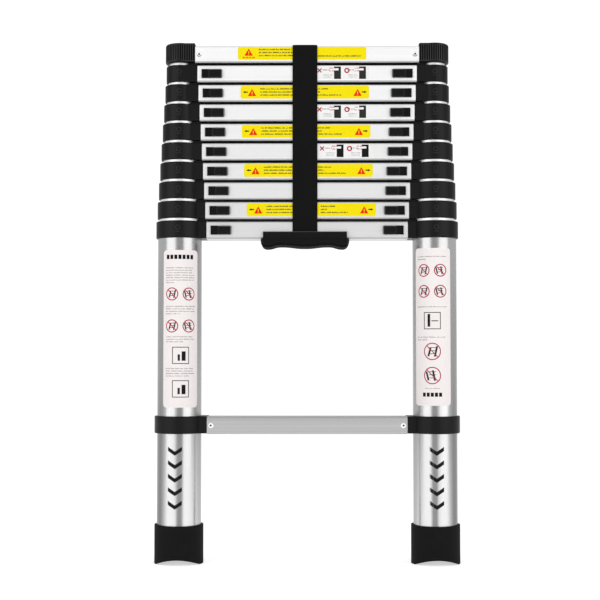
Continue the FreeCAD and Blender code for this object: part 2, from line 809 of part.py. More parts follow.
def strap():
    """The webbing strap: one band over the top rung, with a leg down the front and one down the back."""
    face = "(sizes.rung_depth / 2 + sizes.strap_gap)"
    top = f"({level_height(TOP_LEVEL)} + sizes.rung_height / 2 + sizes.strap_gap)"
    tail = "(sizes.level_two - sizes.rung_height / 2 - sizes.handle_gap + sizes.strap_tail_gap)"
    left = "sizes.band_centre - sizes.strap_width / 2"
    outer = box(
        "strap_outer", "sizes.strap_width", f"2 * ({face} + sizes.strap_thickness)",
        f"{top} + sizes.strap_thickness - {tail}", left, f"-{face} - sizes.strap_thickness", tail,
    )
    inner = box(
        "strap_inner", "sizes.strap_width + 2", f"2 * {face}", f"{top} - {tail} + 1",
        f"{left} - 1", f"-{face}", f"{tail} - 1",
    )

    def bent(name, piece, radius):
        """piece with its two upper edges rounded to follow the rung's corners."""
        doc.recompute()
        height = piece.Shape.BoundBox.ZMax

        def is_upper(edge):
            bounds = edge.BoundBox
            return bounds.XLength > 30 and bounds.ZLength < 0.01 and abs(bounds.Center.z - height) < 0.01

        return rounded(name, piece, radius, is_upper)

    inner_bend = size("rung_corner")
    outer = bent("strap_outer_bend", outer, inner_bend + size("strap_thickness"))
    subpart("carry_strap", cut("strap", outer, bent("strap_inner_bend", inner, inner_bend)))


# ---------------------------------------------------------------- the ladder
foot()
for number in range(1, SECTIONS + 1):
    stile_tubes(number)
for number in range(1, TOP_LEVEL + 1):
    collars(number)
    rung(number)
    if 1 < number < TOP_LEVEL:
        lock_slide(number)
rivets("rivets_bottom", 1)
rivets("rivets_top", TOP_LEVEL)
carry_handle()
strap()

doc.recompute()
for item in doc.Objects:
    if "Invalid" in item.State or "Error" in item.State:
        raise RuntimeError(f"{item.Label} did not recompute: {item.State}")
for item in parts:
    if item.Shape.isNull() or not item.Shape.isValid() or not item.Shape.Solids:
        raise RuntimeError(f"{item.Label} is not a valid solid")

os.makedirs("parts", exist_ok=True)
for item in parts:
    item.Shape.exportStep(os.path.join("parts", f"{item.Label}.step"))
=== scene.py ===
"""Looks for a closed telescoping ladder: metals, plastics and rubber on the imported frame's nodes, with
printed labels, moulded marks and a webbing strap built in mesh code. Lengths in the Print class and its
helpers are millimetres; everywhere else they are metres."""

import math
import random

import bmesh
import bpy
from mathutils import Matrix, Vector


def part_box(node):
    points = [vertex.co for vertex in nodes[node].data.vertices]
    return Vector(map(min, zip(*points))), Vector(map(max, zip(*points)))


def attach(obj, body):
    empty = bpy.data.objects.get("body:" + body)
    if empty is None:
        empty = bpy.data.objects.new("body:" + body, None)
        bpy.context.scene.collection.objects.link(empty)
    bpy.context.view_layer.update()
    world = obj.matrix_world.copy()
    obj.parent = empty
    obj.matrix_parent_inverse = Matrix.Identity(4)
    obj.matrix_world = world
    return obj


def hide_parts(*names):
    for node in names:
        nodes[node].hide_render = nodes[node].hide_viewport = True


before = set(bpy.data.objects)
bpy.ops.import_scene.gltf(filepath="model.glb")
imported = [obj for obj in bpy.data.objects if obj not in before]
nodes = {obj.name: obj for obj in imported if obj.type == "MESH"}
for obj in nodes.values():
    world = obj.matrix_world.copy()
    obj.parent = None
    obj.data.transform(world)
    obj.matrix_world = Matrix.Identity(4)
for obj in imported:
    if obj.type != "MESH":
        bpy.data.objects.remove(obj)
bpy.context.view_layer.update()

MM = 0.001
STACK_LEVELS = range(2, 11)
TOP_LEVEL = 11

# heights at which the outer tubes' painted reflection greys change, and how far below its upper end an inner
# tube stops being lighter and less metallic and is all satin with painted reflection bands, in metres
BAND_HEIGHTS = (0.06, 0.19, 0.47)
BRIGHT_TOP_DEPTH, SATIN_DEPTH = 0.033, 0.047

# sizes of the CAD, in millimetres
TUBE_RADIUS = 33.4
CAP_RADIUS, CAP_HEIGHT = 22.9, 29.8
CAP_BLOCK_OFFSET = 9.0
CAP_GROOVE_REACH, CAP_GROOVE_FACE = 22.8, 21.1
RIVET_HEAD, RIVET_HOLE = 4.0, 1.55

# printed sheets, in millimetres: how far a sheet, the ink on it and a warning triangle stand out
SHEET_TOP, INK_TOP, TRIANGLE_TOP = 0.12, 0.17, 0.18
TUBE_LABEL_HEIGHT = 236.0
PICTURE_LEVELS = (6, 8, 10)

# repeats of a metal's grain to the metre along x, y and z
ALONG_X, ALONG_Z = (2.5, 900.0, 900.0), (900.0, 900.0, 2.5)
COARSE_ALONG_X = (1.0, 240.0, 240.0)
NO_GRAIN = (300.0, 300.0, 300.0)

SHARP_ANGLE, SHARP_STRAP_ANGLE = math.radians(32), math.radians(50)


def body_of_level(level):
    """The body that carries the rung at a level."""
    return "base_section" if level <= 2 else f"section_{level - 1}"


# ---------------------------------------------------------------- material helpers
class NodeTree:
    """Adds nodes to a shader tree. An input takes a plain value or another node's output."""

    def __init__(self, tree):
        self.tree = tree

    def feed(self, socket, value):
        if isinstance(value, bpy.types.NodeSocket):
            self.tree.links.new(value, socket)
        else:
            socket.default_value = value

    def node(self, kind, inputs=None, **settings):
        made = self.tree.nodes.new(kind)
        for key, value in settings.items():
            setattr(made, key, value)
        for key, value in (inputs or {}).items():
            self.feed(made.inputs[key], value)
        return made

    def math(self, operation, *values):
        return self.node("ShaderNodeMath", dict(enumerate(values)), operation=operation).outputs[0]

    def axis(self, letter, source="Object"):
        """One coordinate of a place, a direction or an outward normal."""
        where = self.node("ShaderNodeTexCoord").outputs[source]
        return self.node("ShaderNodeSeparateXYZ", {0: where}).outputs[letter]

    def fade(self, value, start, end, **levels):
        """A smooth change as value goes from start to end: from 0 to 1, or between the given levels."""
        inputs = {"Value": value, "From Min": start, "From Max": end}
        inputs.update({key.replace("_", " "): level for key, level in levels.items()})
        made = self.node("ShaderNodeMapRange", inputs, interpolation_type="SMOOTHSTEP")
        return made.outputs["Result"]


class Shader(NodeTree):
    """A node material on object coordinates, so its grain keeps one real size over every piece."""

    def __init__(self, name):
        self.material = bpy.data.materials.new(name)
        self.material.use_nodes = True
        super().__init__(self.material.node_tree)
        self.surface = self.tree.nodes["Principled BSDF"]

    def coordinates(self, stretch=(1, 1, 1), source="Object"):
        where = self.node("ShaderNodeTexCoord").outputs[source]
        return self.node("ShaderNodeMapping", {"Vector": where, "Scale": stretch}).outputs["Vector"]

    def noise(self, scale, stretch=(1, 1, 1), detail=4.0):
        """Fractal noise from 0 to 1, scale repeats to the metre."""
        place = self.coordinates(stretch)
        made = self.node("ShaderNodeTexNoise", {"Vector": place, "Scale": scale, "Detail": detail})
        return made.outputs["Fac"]

    def between(self, factor, low, high):
        """A factor of 0 to 1 stretched to run from low to high."""
        made = self.node("ShaderNodeMapRange", {"Value": factor, "To Min": low, "To Max": high})
        return made.outputs["Result"]

    def mix(self, factor, first, second):
        """Two colours mixed by a factor; 0, 6 and 7 are the mix node's colour inputs."""
        made = self.node("ShaderNodeMix", {0: factor, 6: first, 7: second}, data_type="RGBA")
        return made.outputs[2]

    def set(self, **inputs):
        for key, value in inputs.items():
            self.feed(self.surface.inputs[key.replace("_", " ")], value)

    def bump(self, factor, depth_mm, strength=1.0):
        inputs = {"Height": factor, "Distance": depth_mm * MM, "Strength": strength}
        made = self.node("ShaderNodeBump", inputs)
        self.set(Normal=made.outputs["Normal"])


def grey(value):
    return (value, value, value, 1.0)


def painted_reflection_bands(look):
    """Two factors across a round stile that place its painted reflection bands: one falls to 0 on its front
    and back lines, the other on its flanks. Both lean a little towards the ladder's middle."""
    facing = look.axis("X", "Normal")
    side = look.math("SIGN", look.axis("X"))
    factors = []
    for lean, start, end in ((0.115, 0.05, 0.22), (0.165, 1.0, 0.56)):
        leant = look.math("MULTIPLY_ADD", side, lean, facing)
        across = look.math("ABSOLUTE", leant)
        factors.append(look.fade(across, start, end))
    return factors


def painted_grey_by_height(look, values):
    """A painted reflection grey for each height of a stile tube: at its foot, at rung 1 and under the stack.
    """
    height = look.axis("Z")
    shade = grey(values[0])
    steps = zip(values[1:], BAND_HEIGHTS, BAND_HEIGHTS[1:])
    for value, low, high in steps:
        rise = look.node("ShaderNodeMapRange", {"Value": height, "From Min": low, "From Max": high})
        shade = look.mix(rise.outputs["Result"], shade, grey(value))
    return shade


def tube_aluminium():
    """Satin stile tube with painted reflection: its grey is darker on its centre lines and flanks and changes
    with height.
    """
    look = Shader("tube_aluminium")
    lines = look.noise(1.0, stretch=ALONG_Z, detail=6.0)
    # painted reflection: darker greys on the front and back lines and on the flanks, set by height
    middle, flanks = painted_reflection_bands(look)
    shade = look.mix(middle, painted_grey_by_height(look, (0.235, 0.245, 0.35)), painted_grey_by_height(look, (0.68, 0.5, 0.44)))
    shade = look.mix(flanks, painted_grey_by_height(look, (0.16, 0.19, 0.55)), shade)
    look.set(
        Base_Color=look.mix(look.between(lines, 0.0, 0.16), shade, grey(0.3)),
        Metallic=0.85, Roughness=look.between(lines, 0.18, 0.32),
    )
    look.bump(lines, 0.02, 0.25)
    return look.material


def inner_tube_aluminium(name, top):
    """Satin tube of the stack with painted reflection bands, lighter and less metallic where its upper end
    shows under its collar.
    top is the height of the tube's upper end in metres."""
    look = Shader(name)
    lines = look.noise(1.0, stretch=ALONG_Z, detail=6.0)
    bright_top = look.fade(look.axis("Z"), top - SATIN_DEPTH, top - BRIGHT_TOP_DEPTH)
    middle, flanks = painted_reflection_bands(look)
    # painted reflection bands on the satin part
    satin = look.mix(flanks, grey(0.2), look.mix(middle, grey(0.26), grey(0.5)))
    shade = look.mix(bright_top, satin, grey(0.9))
    look.set(
        Base_Color=look.mix(look.between(lines, 0.0, 0.12), shade, grey(0.4)),
        Metallic=look.between(bright_top, 0.8, 0.3), Roughness=look.between(lines, 0.28, 0.42),
    )
    look.bump(lines, 0.02, 0.25)
    return look.material


def brushed_metal(name, value, grain, roughness, metallic, contrast=0.06):
    """Metal with fine lines drawn along grain, which holds few repeats along them and many across."""
    look = Shader(name)
    lines = look.noise(1.0, stretch=grain, detail=6.0)
    cloud = look.noise(9.0, detail=2.0)
    shade = look.mix(lines, grey(value * (1 - contrast)), grey(min(value * (1 + contrast), 1.0)))
    shade = look.mix(look.between(cloud, 0.0, 0.35), shade, grey(value * 0.97))
    look.set(
        Base_Color=shade, Metallic=metallic,
        Roughness=look.between(lines, roughness - 0.06, roughness + 0.08),
    )
    look.bump(lines, 0.02, 0.25)
    return look.material


def moulded_plastic(name, value, roughness, specular, texture=0.03):
    """Black plastic with the fine spark-eroded texture of its mould."""
    look = Shader(name)
    fine = look.noise(2600.0, detail=2.0)
    cloud = look.noise(22.0, detail=3.0)
    look.set(
        Base_Color=look.mix(cloud, grey(value * 0.8), grey(value * 1.3)),
        Roughness=look.between(cloud, roughness - 0.07, roughness + 0.07),
        Specular_IOR_Level=specular,
    )
    look.bump(fine, texture, 0.5)
    return look.material


def rubber(name, value):
    """Matt black rubber, a little dusty in its hollows."""
    look = Shader(name)
    fine = look.noise(1500.0, detail=3.0)
    dust = look.noise(60.0, detail=5.0)
    look.set(
        Base_Color=look.mix(look.between(dust, -0.4, 0.6), grey(value), (0.010, 0.0095, 0.009, 1)),
        Roughness=look.between(dust, 0.62, 0.85), Specular_IOR_Level=0.12,
    )
    look.bump(fine, 0.05, 0.5)
    return look.material


def print_ink(name, colour):
    """Printed vinyl or ink: an even colour with a slight mottle and orange-peel gloss."""
    look = Shader(name)
    mottle = look.noise(240.0, detail=3.0)
    darker = (*(0.93 * c for c in colour), 1)
    look.set(
        Base_Color=look.mix(mottle, (*colour, 1), darker),
        Roughness=look.between(mottle, 0.4, 0.55), Specular_IOR_Level=0.08,
    )
    look.bump(mottle, 0.01, 0.3)
    return look.material


def webbing(name, value):
    """Woven strap: ribs across it and yarns along it, from the strap's own u and v in millimetres."""
    look = Shader(name)
    ribs = look.node("ShaderNodeTexWave", {
        "Vector": look.coordinates((0.0, 1.0, 0.0), "UV"), "Scale": 0.16,
        "Distortion": 0.3, "Detail": 1.0,
    }, bands_direction="Y").outputs["Fac"]
    yarns = look.node("ShaderNodeTexWave", {
        "Vector": look.coordinates((1.0, 0.0, 0.0), "UV"), "Scale": 0.2,
        "Distortion": 0.4, "Detail": 1.0,
    }, bands_direction="X").outputs["Fac"]
    weave = look.math("MULTIPLY", ribs, yarns)
    fuzz = look.noise(900.0, detail=3.0)
    look.set(
        Base_Color=look.mix(weave, grey(value * 0.55), grey(value * 1.5)),
        Roughness=look.between(fuzz, 0.75, 0.95), Specular_IOR_Level=0.1, Sheen_Weight=0.02,
    )
    look.bump(weave, 0.35, 0.8)
    return look.material


# painted light and shade by height: rung 1 is the darkest, and the rungs above get lighter as they rise
rung_metal = {1: brushed_metal("rung_aluminium_1", 0.41, COARSE_ALONG_X, 0.34, 0.4, contrast=0.34)}
for level in range(2, TOP_LEVEL + 1):
    # painted light: each rung is painted a little lighter than the one below
    painted_lightness = 0.556 + 0.0405 * level - 0.00125 * level ** 2
    rung_metal[level] = brushed_metal(f"rung_aluminium_{level}", painted_lightness, ALONG_X, 0.34, 0.4)
# painted shade: a duller copy of the rung metal for the rungs' downward-facing lower corners
rung_edge_painted_shade = brushed_metal("rung_edge_aluminium_painted_shade", 0.42, ALONG_X, 0.4, 0.5)
tube_metal = tube_aluminium()
rivet_metal = brushed_metal("rivet_steel", 0.9, NO_GRAIN, 0.35, 0.3)
# painted shade: a duller copy of the rivet metal for the downward slope of the top rung's rivet heads
rivet_slope_painted_shade = brushed_metal("rivet_rim", 0.3, NO_GRAIN, 0.4, 0.6)
collar_plastic = moulded_plastic("collar_plastic", 0.0034, 0.38, specular=0.14)
mark_plastic = moulded_plastic("mark_plastic", 0.012, 0.45, specular=0.3)
# painted highlight on the end caps' ridges and painted shade in their grooves
cap_ridge_painted_highlight = moulded_plastic("cap_ridge_painted_highlight", 0.017, 0.42, specular=0.3)
cap_groove_painted_shade = moulded_plastic("cap_groove_painted_shade", 0.002, 0.6, specular=0.05)
slide_plastic = moulded_plastic("slide_plastic", 0.0016, 0.26, specular=0.2, texture=0.01)
# painted highlight: a lighter copy of the slide plastic for the pads' upper and inner rims
slide_rim_painted_highlight = moulded_plastic("slide_rim_painted_highlight", 0.075, 0.3, specular=0.5, texture=0.01)
handle_plastic = moulded_plastic("handle_plastic", 0.0026, 0.42, specular=0.11, texture=0.04)
# painted shade on the handle's matt underside, and a painted highlight on its upper rims
handle_shade = moulded_plastic("handle_shade", 0.005, 0.7, specular=0.02, texture=0.04)
handle_rim_painted_highlight = moulded_plastic("handle_rim_painted_highlight", 0.065, 0.4, specular=0.4, texture=0.04)
# painted shade: matt black rubber on stacked rungs where they meet, for the shade in the gaps between them
grip_coat = rubber("grip_coat", 0.002)
foot_rubber = rubber("foot_rubber", 0.0024)
strap_webbing = webbing("strap_webbing", 0.004)
white_vinyl = print_ink("white_vinyl", (0.72, 0.71, 0.705))
tube_vinyl = print_ink("tube_vinyl", (0.74, 0.695, 0.69))
yellow_vinyl = print_ink("yellow_vinyl", (0.74, 0.61, 0.001))
red_ink = print_ink("red_ink", (0.66, 0.016, 0.004))
dull_red_ink = print_ink("dull_red_ink", (0.36, 0.02, 0.04))
black_ink_and_painted_shade = print_ink("black_ink_and_painted_shade", (0.006, 0.006, 0.006))
grey_ink = print_ink("grey_ink", (0.022, 0.022, 0.022))
pale_ink = print_ink("pale_ink", (0.27, 0.26, 0.26))
olive_ink = print_ink("olive_ink", (0.06, 0.056, 0.03))


def finish_node(name, *materials, choose=None):
    """Gives a CAD node its materials and smooth shading across its shallow edges.
    choose(polygon) says which of them a face takes."""
    mesh = nodes[name].data
    mesh.materials.clear()
    for material in materials:
        mesh.materials.append(material)
    for polygon in mesh.polygons:
        polygon.material_index = choose(polygon) if choose else 0
    mesh.shade_smooth()
    mesh.set_sharp_from_angle(angle=SHARP_ANGLE)


def finish_rung(name, level):
    """Bright metal with painted shade in a duller metal on its lower corners, and painted shade in matt black
    where it meets the next rung.
    """
    low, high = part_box(name)
    margin = 2.6 * MM

    def surface(polygon):
        above = level in STACK_LEVELS and polygon.center.z > high.z - margin and polygon.normal.z > -0.5
        below = level > 2 and polygon.center.z < low.z + 0.1 * MM and polygon.normal.z < -0.9
        inside = low.y + margin < polygon.center.y < high.y - margin
        # painted shade where stacked rungs meet; otherwise painted shade on the lower corners
        if inside and (above or below):
            return 1
        return 2 if level > 1 and polygon.normal.z < -0.2 and not inside else 0

    finish_node(name, rung_metal[level], grip_coat, rung_edge_painted_shade, choose=surface)


def finish_rivets(name):
    """Zinc heads with painted shade in black in their hollow middle; on the top rung the slope under the head
    has painted shade in a duller metal.
    """
    low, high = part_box(name)
    height = (low.z + high.z) / 2
    ends = (low.x + RIVET_HEAD * MM, high.x - RIVET_HEAD * MM)

    def part(polygon):
        reach = min(math.hypot(polygon.center.x - x, polygon.center.z - height) for x in ends)
        # painted shade: the hollow middle is drawn in black
        if reach < RIVET_HOLE * MM:
            return 1
        return 2 if name == "rivets_top" and polygon.normal.z < -0.1 else 0

    finish_node(name, rivet_metal, black_ink_and_painted_shade, rivet_slope_painted_shade, choose=part)


def finish_caps(name):
    """Black mouldings; the two fluted caps have painted highlights on their ridges and painted shade in their
    grooves.
    """
    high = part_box(name)[1]
    axis = high.x - CAP_RADIUS * MM
    foot = high.z - CAP_HEIGHT * MM

    def part(polygon):
        centre, normal = polygon.center, polygon.normal
        if centre.z < foot + 2.0 * MM or abs(normal.z) > 0.5:
            return 0
        out = math.hypot(abs(centre.x) - axis, centre.y)
        if abs(centre.x) < axis - CAP_BLOCK_OFFSET * MM:
            return 2 if abs(centre.y) < CAP_GROOVE_FACE * MM else 1
        return 2 if out < CAP_GROOVE_REACH * MM else 1

    finish_node(name, collar_plastic, cap_ridge_painted_highlight, cap_groove_painted_shade, choose=part)


def finish_slide(name):
    """A glossy thumb slide with a painted highlight on the pad's upper and inner rims."""
    low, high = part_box(name)
    inward = -1 if low.x + high.x > 0 else 1

    def part(polygon):
        normal = polygon.normal
        return int(normal.y < -0.15 and (normal.z > 0.3 or inward * normal.x > 0.3))

    finish_node(name, slide_plastic, slide_rim_painted_highlight, choose=part)


def finish_handle(name):
    """The moulded handle: a painted highlight on its upper rims, and painted shade on its matt underside."""
    def part(polygon):
        normal = polygon.normal
        if normal.z < -0.25:
            return 1
        return 2 if 0.3 < normal.z < 0.97 and abs(normal.y) > 0.2 else 0

    finish_node(name, handle_plastic, handle_shade, handle_rim_painted_highlight, choose=part)


for name in nodes:
    if name.startswith("rung_") and name != "rung_clamps":
        finish_rung(name, int(name.split("_")[1]))
    elif name == "stile_tubes_1":
        finish_node(name, tube_metal)
    elif name.startswith("stile_tubes"):
        finish_node(name, inner_tube_aluminium(f"{name}_aluminium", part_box(name)[1].z))
    elif name.startswith("foot"):
        finish_node(name, foot_rubber)
    elif name.startswith("rivets"):
        finish_rivets(name)
    elif name == "end_caps_and_plugs":
        finish_caps(name)
    elif name.startswith("lock_slide"):
        finish_slide(name)
    elif name == "carry_handle":
        finish_handle(name)
    elif name != "carry_strap":
        finish_node(name, collar_plastic)


# ---------------------------------------------------------------- printed sheets
class Print:
    """A thin printed sheet drawn flat in millimetres, u to the right and v up, then laid on a surface.
    Each shape is a low plateau on the one below, so the ink is real geometry."""

    def __init__(self, name, inks):
        self.name, self.inks = name, inks
        self.mesh = bmesh.new()

    def shape(self, outline, low, high, ink, hole=None):
        """A plateau from low to high; with a hole, outline and hole are rings with as many points."""
        index = self.inks.index(ink)
        top = [self.mesh.verts.new((u, v, high)) for u, v in outline]
        foot = [self.mesh.verts.new((u, v, low)) for u, v in outline]
        count = len(top)
        faces = []
        if hole is None:
            faces += [self.mesh.faces.new(top), self.mesh.faces.new(foot[::-1])]
        else:
            inner_top = [self.mesh.verts.new((u, v, high)) for u, v in hole]
            inner_foot = [self.mesh.verts.new((u, v, low)) for u, v in hole]
            for n in range(count):
                m = (n + 1) % count
                faces.append(self.mesh.faces.new((top[n], top[m], inner_top[m], inner_top[n])))
                faces.append(self.mesh.faces.new((inner_foot[n], inner_foot[m], foot[m], foot[n])))
                faces.append(self.mesh.faces.new((inner_top[n], inner_top[m], inner_foot[m], inner_foot[n])))
        for n in range(count):
            m = (n + 1) % count
            faces.append(self.mesh.faces.new((foot[n], foot[m], top[m], top[n])))
        for face in faces:
            face.material_index = index

    def bar(self, u0, v0, u1, v1, ink, low=SHEET_TOP, high=INK_TOP):
        self.shape([(u0, v0), (u1, v0), (u1, v1), (u0, v1)], low, high, ink)

    def ring(self, u, v, outer, inner, ink, low=SHEET_TOP, high=INK_TOP):
        around = [2 * math.pi * n / 32 for n in range(32)]
        rims = [[(u + r * math.cos(a), v + r * math.sin(a)) for a in around] for r in (outer, inner)]
        self.shape(rims[0], low, high, ink, hole=rims[1])

    def frame(self, u, v, half, width, ink):
        """A square border."""
        rims = [[(u - r, v - r), (u + r, v - r), (u + r, v + r), (u - r, v + r)]
                for r in (half, half - width)]
        self.shape(rims[0], SHEET_TOP, INK_TOP, ink, hole=rims[1])

    def triangle(self, u, v, half, height, ink):
        self.shape([(u - half, v), (u + half, v), (u, v + height)], SHEET_TOP, TRIANGLE_TOP, ink)

    def backing(self, width, height, corner, ink):
        """The sheet itself, centred on u = v = 0, with rounded corners."""
        outline = []
        for cu, cv, start in ((1, 1, 0), (-1, 1, 90), (-1, -1, 180), (1, -1, 270)):
            for step in range(7):
                angle = math.radians(start + 15 * step)
                outline.append((
                    cu * (width / 2 - corner) + corner * math.cos(angle),
                    cv * (height / 2 - corner) + corner * math.sin(angle),
                ))
        self.shape(outline, 0.0, SHEET_TOP, ink)

    def lines(self, u0, u1, tops, thick, ink, seed, last=1.0):
        """Rows of small uneven blocks in groups, which stand for print without being letters."""
        rng = random.Random(seed)
        stroke, gap, word_gap = 1.3, 0.4, 1.1
        for row, v in enumerate(tops):
            end = u0 + (u1 - u0) * (last if row == len(tops) - 1 else rng.uniform(0.9, 1.0))
            u, left_in_word = u0, rng.randint(2, 8)
            while u < end - stroke:
                length = stroke * rng.uniform(0.7, 1.3)
                self.bar(u, v - thick, u + length, v - thick * rng.choice((0.0, 0.0, 0.35)), ink)
                left_in_word -= 1
                u += length + gap
                if not left_in_word:
                    u, left_in_word = u + word_gap, rng.randint(2, 8)

    def lay(self, place, body, slot, cut_every=None):
        """Bends the sheet by place(u, v, height), which gives a point in metres, and fastens it to a body."""
        if cut_every:
            reach = max(abs(vert.co.x) for vert in self.mesh.verts)
            for n in range(-int(reach / cut_every), int(reach / cut_every) + 1):
                bmesh.ops.bisect_plane(
                    self.mesh, geom=self.mesh.verts[:] + self.mesh.edges[:] + self.mesh.faces[:],
                    plane_co=(n * cut_every, 0, 0), plane_no=(1, 0, 0),
                )
        for vert in self.mesh.verts:
            vert.co = place(*vert.co)
        bmesh.ops.recalc_face_normals(self.mesh, faces=self.mesh.faces[:])
        data = bpy.data.meshes.new(self.name)
        self.mesh.to_mesh(data)
        self.mesh.free()
        for ink in self.inks:
            data.materials.append(ink)
        made = bpy.data.objects.new(self.name, data)
        bpy.context.scene.collection.objects.link(made)
        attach(made, body)


def on_rung(level, x, z):
    """Places a sheet flat on a rung's front face, its centre x and z millimetres from the rung's."""
    low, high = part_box(f"rung_{level}")
    centre = (low + high) / 2

    def place(u, v, height):
        return Vector((centre.x + (x + u) * MM, low.y - (0.02 + height) * MM, centre.z + (z + v) * MM))

    return place


def on_tube(side, turn, z):
    """Wraps a sheet round an outer tube, its centre turned from the front by turn degrees."""
    low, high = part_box("stile_tubes_1")
    radius = (high.y - low.y) / 2
    axis = side * (high.x - radius)

    def place(u, v, height):
        angle = math.radians(turn) + u * MM / radius
        reach = radius + (0.02 + height) * MM
        return Vector((axis + reach * math.sin(angle), -reach * math.cos(angle), (z + v) * MM))

    return place


RUNG_SLOT, TUBE_SLOT = "rung_aluminium", "tube_aluminium"


def warning_triangle(sheet, u, v):
    """A red triangle with a plain light stroke and dot in it."""
    sheet.triangle(u, v, 6.4, 10.8, red_ink)
    for foot, head in ((3.0, 6.8), (1.2, 2.2)):
        sheet.bar(u - 0.6, v + foot, u + 0.6, v + head, yellow_vinyl, TRIANGLE_TOP, TRIANGLE_TOP + 0.02)


def rung_sign(level, x, arrows):
    """A yellow sign across a rung, with rows of small print. With arrows it has a red triangle and an
    arrow near each end, and otherwise one triangle near its left end."""
    sheet = Print(f"yellow_label_{level}", [yellow_vinyl, red_ink, black_ink_and_painted_shade, olive_ink])
    width, height = 195.0, 19.6
    sheet.backing(width, height, 3.0, yellow_vinyl)
    half = width / 2
    if arrows:
        for side in (-1, 1):
            warning_triangle(sheet, side * (half - 17.5), -5.8)
            tip, neck, tail = side * (half - 3.6), side * (half - 7.4), side * (half - 11.2)
            sheet.shape([(tip, 0.3), (neck, 2.1), (neck, 1.1), (tail, 1.1), (tail, -0.5), (neck, -0.5),
                         (neck, -1.5)], SHEET_TOP, INK_TOP, black_ink_and_painted_shade)
        sheet.lines(-half + 30, -half + 86, (6.1, 1.4, -3.3), 1.9, olive_ink, level)
        sheet.lines(-half + 112, -half + 136, (6.1, 1.4), 1.9, olive_ink, level + 40, 0.4)
        sheet.lines(-half + 112, -half + 154, (-3.3,), 1.9, olive_ink, level + 60)
    else:
        warning_triangle(sheet, -half + 16.5, -3.6)
        sheet.lines(-half + 7.5, -half + 25.5, (-5.2,), 2.4, red_ink, level + 20)
        sheet.lines(-half + 32, -half + 86, (6.8, 2.2, -2.4), 1.9, olive_ink, level)
        sheet.lines(-half + 112, -half + 187, (-3.2,), 1.9, olive_ink, level + 40)
    sheet.lay(on_rung(level, x, 1.2), body_of_level(level), RUNG_SLOT)


def picture_label(level):
    """A white label of plain shapes to the right of the strap: a cross, two dark panels, a ring and rows."""
    lowest = level == PICTURE_LEVELS[0]
    panel_ink = black_ink_and_painted_shade if lowest else grey_ink
    sheet = Print(f"picture_label_{level}", [white_vinyl, dull_red_ink, grey_ink, panel_ink])
    width = 78.0
    sheet.backing(width, 20.0, 0.8, white_vinyl)
    left = -width / 2
    for slope in (-1, 1):
        arm = [(-3.6, -2.4), (-2.4, -3.6), (3.6, 2.4), (2.4, 3.6)]
        outline = [(left + 3.4 + u, 3.5 + slope * v) for u, v in arm][::slope]
        sheet.shape(outline, SHEET_TOP, INK_TOP, dull_red_ink)
    for start in (25.5, 63.5):
        sheet.bar(left + start, -9.6, left + start + 10.4, 3.4, panel_ink)
        sheet.bar(left + start, 6.8, left + start + 10.4, 9.4, panel_ink)
        sheet.bar(left + start + 6.8, 3.4, left + start + 10.4, 6.8, panel_ink)
        sheet.lines(left + start - 18, left + start - 6, (4.8,), 1.2, grey_ink, level + start)
        sheet.lines(left + start - 7, left + start + 3.0, (7.6, 3.4), 1.3, dull_red_ink, level + start + 1)
        sheet.lines(left + start - 16, left + start - 2, (-2.6, -4.6, -6.6), 0.5, grey_ink, level + start + 2)
    sheet.ring(left + 45.0, 3.4, 4.1, 2.1, dull_red_ink)
    sheet.lay(on_rung(level, 58.3 if lowest else 54.5, 1.2), body_of_level(level), RUNG_SLOT)


rung_sign(TOP_LEVEL, -7.6, arrows=False)
for sign_level, sign_x in ((9, -3.4), (7, -1.5), (5, 2.0), (3, 6.2)):
    rung_sign(sign_level, sign_x, arrows=True)
for picture_level in PICTURE_LEVELS:
    picture_label(picture_level)


def ban_signs(sheet, rows, outer):
    """Red rings with a slanting bar over a few dark strokes."""
    crossed, over = INK_TOP - 0.02, INK_TOP + 0.02
    for number, (u, v) in enumerate(rows):
        lean = 0.25 * (-1) ** number
        for across, low, high in ((-0.45, -0.55, 0.45), (0.3, -0.6, 0.6)):
            dark = [(across - 0.12, low), (across + 0.1, low), (across + lean + 0.12, high),
                    (across + lean - 0.1, high)]
            sheet.shape([(u + outer * a, v + outer * b) for a, b in dark], SHEET_TOP, crossed, grey_ink)
        for rung in (-0.3, 0.05, 0.4):
            sheet.bar(u - 0.4 * outer, v + rung * outer, u + 0.42 * outer, v + rung * outer + 0.9, grey_ink,
                      high=crossed)
        sheet.ring(u, v, outer, outer - 1.5, dull_red_ink, high=over)
        end, half = outer * math.sqrt(0.5) - 0.3, 0.45
        slash = [(u - end - half, v + end - half), (u + end - half, v - end - half),
                 (u + end + half, v - end + half), (u - end + half, v + end + half)]
        sheet.shape(slash, crossed, over, dull_red_ink)


def blank_tube_label(name, width):
    """A white stile label, with the height of its top edge and the start of its lines of print."""
    sheet = Print(name, [tube_vinyl, dull_red_ink, grey_ink, black_ink_and_painted_shade, pale_ink])
    sheet.backing(width, TUBE_LABEL_HEIGHT, 5.5, tube_vinyl)
    return sheet, TUBE_LABEL_HEIGHT / 2, -width / 2 + 5


